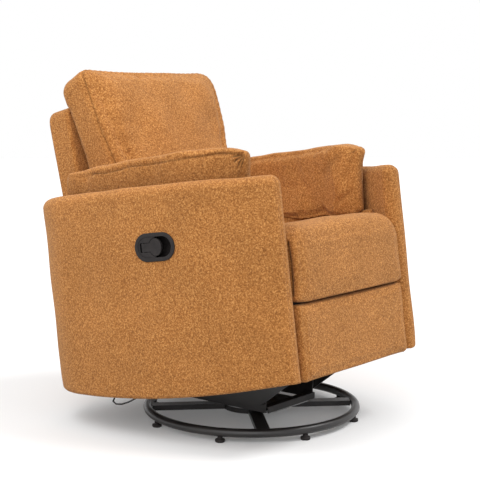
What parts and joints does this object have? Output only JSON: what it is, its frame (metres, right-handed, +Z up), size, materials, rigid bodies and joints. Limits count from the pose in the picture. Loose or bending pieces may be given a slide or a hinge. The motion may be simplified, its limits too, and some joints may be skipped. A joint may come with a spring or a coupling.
{
  "type": "swivel glider recliner",
  "caption": "Swivel glider recliner with a ring base, wrap-round boucle arms, loose arm pillows, and a footrest that a pull paddle in the arm releases.",
  "frame": {"origin": "on the floor at the centre of the ring base, on the swivel's axis", "axes": "+Z up; the sitter faces -Y; +X is the sitter's left"},
  "size_m": [0.8978, 0.9614, 1.0198],
  "materials": {
    "black_steel": "satin black powder coat",
    "zinc_steel": "zinc plated",
    "black_plastic": "fine satin",
    "plywood": "unfinished",
    "boucle_fabric": "looped bouclé pile",
    "cable_casing": "smooth satin"
  },
  "bodies": {
    "base": {"base_ring": "black_steel", "cross_arms": "black_steel", "swivel_lower_plate": "zinc_steel", "bearing_race": "black_plastic"},
    "swivel": {"swivel_upper_plate": "zinc_steel", "king_pin": "zinc_steel", "glide_stand": "black_steel"},
    "glide_links_front": {"glide_links_front": "zinc_steel"},
    "glide_links_rear": {"glide_links_rear": "zinc_steel"},
    "chassis": {"glide_rail_left": "black_steel", "glide_rail_right": "black_steel", "cross_tube_front": "black_steel", "cross_tube_rear": "black_steel", "base_rail_left": "black_steel", "base_rail_right": "black_steel", "arm_cover_left": "boucle_fabric", "arm_cover_right": "boucle_fabric", "arm_core_left": "plywood", "arm_core_right": "plywood", "arm_deck_left": "boucle_fabric", "arm_deck_right": "boucle_fabric", "arm_pillow_left": "boucle_fabric", "arm_pillow_right": "boucle_fabric", "rear_panel": "boucle_fabric", "handle_cup": "black_plastic", "paddle_pin": "zinc_steel", "release_cable": "cable_casing", "lever_bracket": "black_steel"},
    "paddle": {"pull_paddle": "black_plastic"},
    "release_lever": {"release_lever": "zinc_steel"},
    "swing_links_front": {"swing_links_front": "zinc_steel"},
    "swing_links_rear": {"swing_links_rear": "zinc_steel"},
    "seat": {"seat_frame": "plywood", "seat_springs": "zinc_steel", "seat_cushion": "boucle_fabric", "seat_plate_left": "black_steel", "seat_plate_right": "black_steel"},
    "drive_arms": {"tong_drive_arm_left": "zinc_steel", "tong_drive_arm_right": "zinc_steel"},
    "lower_arms": {"tong_lower_arm_left": "zinc_steel", "tong_lower_arm_right": "zinc_steel"},
    "inner_bars": {"tong_inner_bar_left": "zinc_steel", "tong_inner_bar_right": "zinc_steel"},
    "outer_bars": {"tong_outer_bar_left": "zinc_steel", "tong_outer_bar_right": "zinc_steel"},
    "end_arms": {"tong_end_arm_left": "zinc_steel", "tong_end_arm_right": "zinc_steel"},
    "footrest": {"footrest_bracket": "black_steel", "footrest_board": "plywood", "footrest_pad": "boucle_fabric"},
    "torque_rod": {"torque_rod": "zinc_steel"},
    "drive_links": {"drive_link_left": "zinc_steel", "drive_link_right": "zinc_steel"},
    "back": {"back_frame": "plywood", "back_shell": "boucle_fabric", "back_cushion": "boucle_fabric", "back_hinge_plate_left": "black_steel", "back_hinge_plate_right": "black_steel"}
  },
  "joints": [
    {"name": "swivel_turn", "type": "hinge", "parent": "base", "child": "swivel", "pos_m": [0, 0, 0], "axis": [0, 0, 1], "continuous": true},
    {"name": "glide_front", "type": "hinge", "parent": "swivel", "child": "glide_links_front", "pos_m": [0, -0.13, 0.16], "axis": [1, 0, 0], "range_deg": [-22, 22]},
    {"name": "glide_chassis", "type": "hinge", "parent": "glide_links_front", "child": "chassis", "pos_m": [0, -0.13, 0.085], "axis": [1, 0, 0], "range_deg": [-22, 22]},
    {"name": "glide_rear", "type": "hinge", "parent": "swivel", "child": "glide_links_rear", "pos_m": [0, 0.13, 0.16], "axis": [1, 0, 0], "range_deg": [-22, 22]},
    {"name": "paddle_pull", "type": "hinge", "parent": "chassis", "child": "paddle", "pos_m": [-0.42378, 0.03718, 0.5419], "axis": [0, -0.134, -0.991], "range_deg": [0, 30], "stiffness_Nm_per_rad": 0.15},
    {"name": "lever_lift", "type": "hinge", "parent": "chassis", "child": "release_lever", "pos_m": [0, -0.17702, 0.22071], "axis": [1, 0, 0], "range_deg": [0, 10]},
    {"name": "swing_front", "type": "hinge", "parent": "chassis", "child": "swing_links_front", "pos_m": [0, -0.10337, 0.2057], "axis": [1, 0, 0], "range_deg": [0, 40]},
    {"name": "seat_swing", "type": "hinge", "parent": "swing_links_front", "child": "seat", "pos_m": [0, -0.06851, 0.27211], "axis": [1, 0, 0], "range_deg": [-40, 0]},
    {"name": "swing_rear", "type": "hinge", "parent": "chassis", "child": "swing_links_rear", "pos_m": [0, 0.17411, 0.16819], "axis": [1, 0, 0], "range_deg": [0, 40]},
    {"name": "back_recline", "type": "hinge", "parent": "seat", "child": "back", "pos_m": [0, 0.29639, 0.36357], "axis": [-1, 0, 0], "range_deg": [0, 32]},
    {"name": "footrest_drive", "type": "hinge", "parent": "seat", "child": "drive_arms", "pos_m": [0, -0.25416, 0.28462], "axis": [1, 0, 0], "range_deg": [0, 78]},
    {"name": "lower_arm_swing", "type": "hinge", "parent": "seat", "child": "lower_arms", "pos_m": [0, -0.25416, 0.28462], "axis": [1, 0, 0], "range_deg": [-78, 0]},
    {"name": "inner_bar_swing", "type": "hinge", "parent": "drive_arms", "child": "inner_bars", "pos_m": [0, -0.25991, 0.38445], "axis": [1, 0, 0], "range_deg": [-156, 0]},
    {"name": "outer_bar_swing", "type": "hinge", "parent": "lower_arms", "child": "outer_bars", "pos_m": [0, -0.26928, 0.18577], "axis": [1, 0, 0], "range_deg": [0, 156]},
    {"name": "end_arm_swing", "type": "hinge", "parent": "inner_bars", "child": "end_arms", "pos_m": [0, -0.29017, 0.18676], "axis": [1, 0, 0], "range_deg": [0, 156]},
    {"name": "footrest_turn", "type": "hinge", "parent": "outer_bars", "child": "footrest", "pos_m": [0, -0.2808, 0.38544], "axis": [1, 0, 0], "range_deg": [-156, 0]},
    {"name": "torque_rod_turn", "type": "hinge", "parent": "seat", "child": "torque_rod", "pos_m": [0, -0.12841, 0.28175], "axis": [1, 0, 0], "range_deg": [0, 78]},
    {"name": "drive_link_swing", "type": "hinge", "parent": "torque_rod", "child": "drive_links", "pos_m": [0, -0.09566, 0.31261], "axis": [1, 0, 0], "range_deg": [-78, 0]}
  ],
  "couplings": [
    {"joint": "glide_chassis", "follows": "glide_front", "ratio": -1},
    {"joint": "glide_rear", "follows": "glide_front", "ratio": 1},
    {"joint": "lever_lift", "follows": "paddle_pull", "ratio": 0.33333},
    {"joint": "swing_front", "follows": "back_recline", "ratio": 1.25},
    {"joint": "seat_swing", "follows": "back_recline", "ratio": -1.25},
    {"joint": "swing_rear", "follows": "back_recline", "ratio": 1.25},
    {"joint": "lower_arm_swing", "follows": "footrest_drive", "ratio": -1},
    {"joint": "inner_bar_swing", "follows": "footrest_drive", "ratio": -2},
    {"joint": "outer_bar_swing", "follows": "footrest_drive", "ratio": 2},
    {"joint": "end_arm_swing", "follows": "footrest_drive", "ratio": 2},
    {"joint": "footrest_turn", "follows": "footrest_drive", "ratio": -2},
    {"joint": "torque_rod_turn", "follows": "footrest_drive", "ratio": 1},
    {"joint": "drive_link_swing", "follows": "footrest_drive", "ratio": -1}
  ]
}
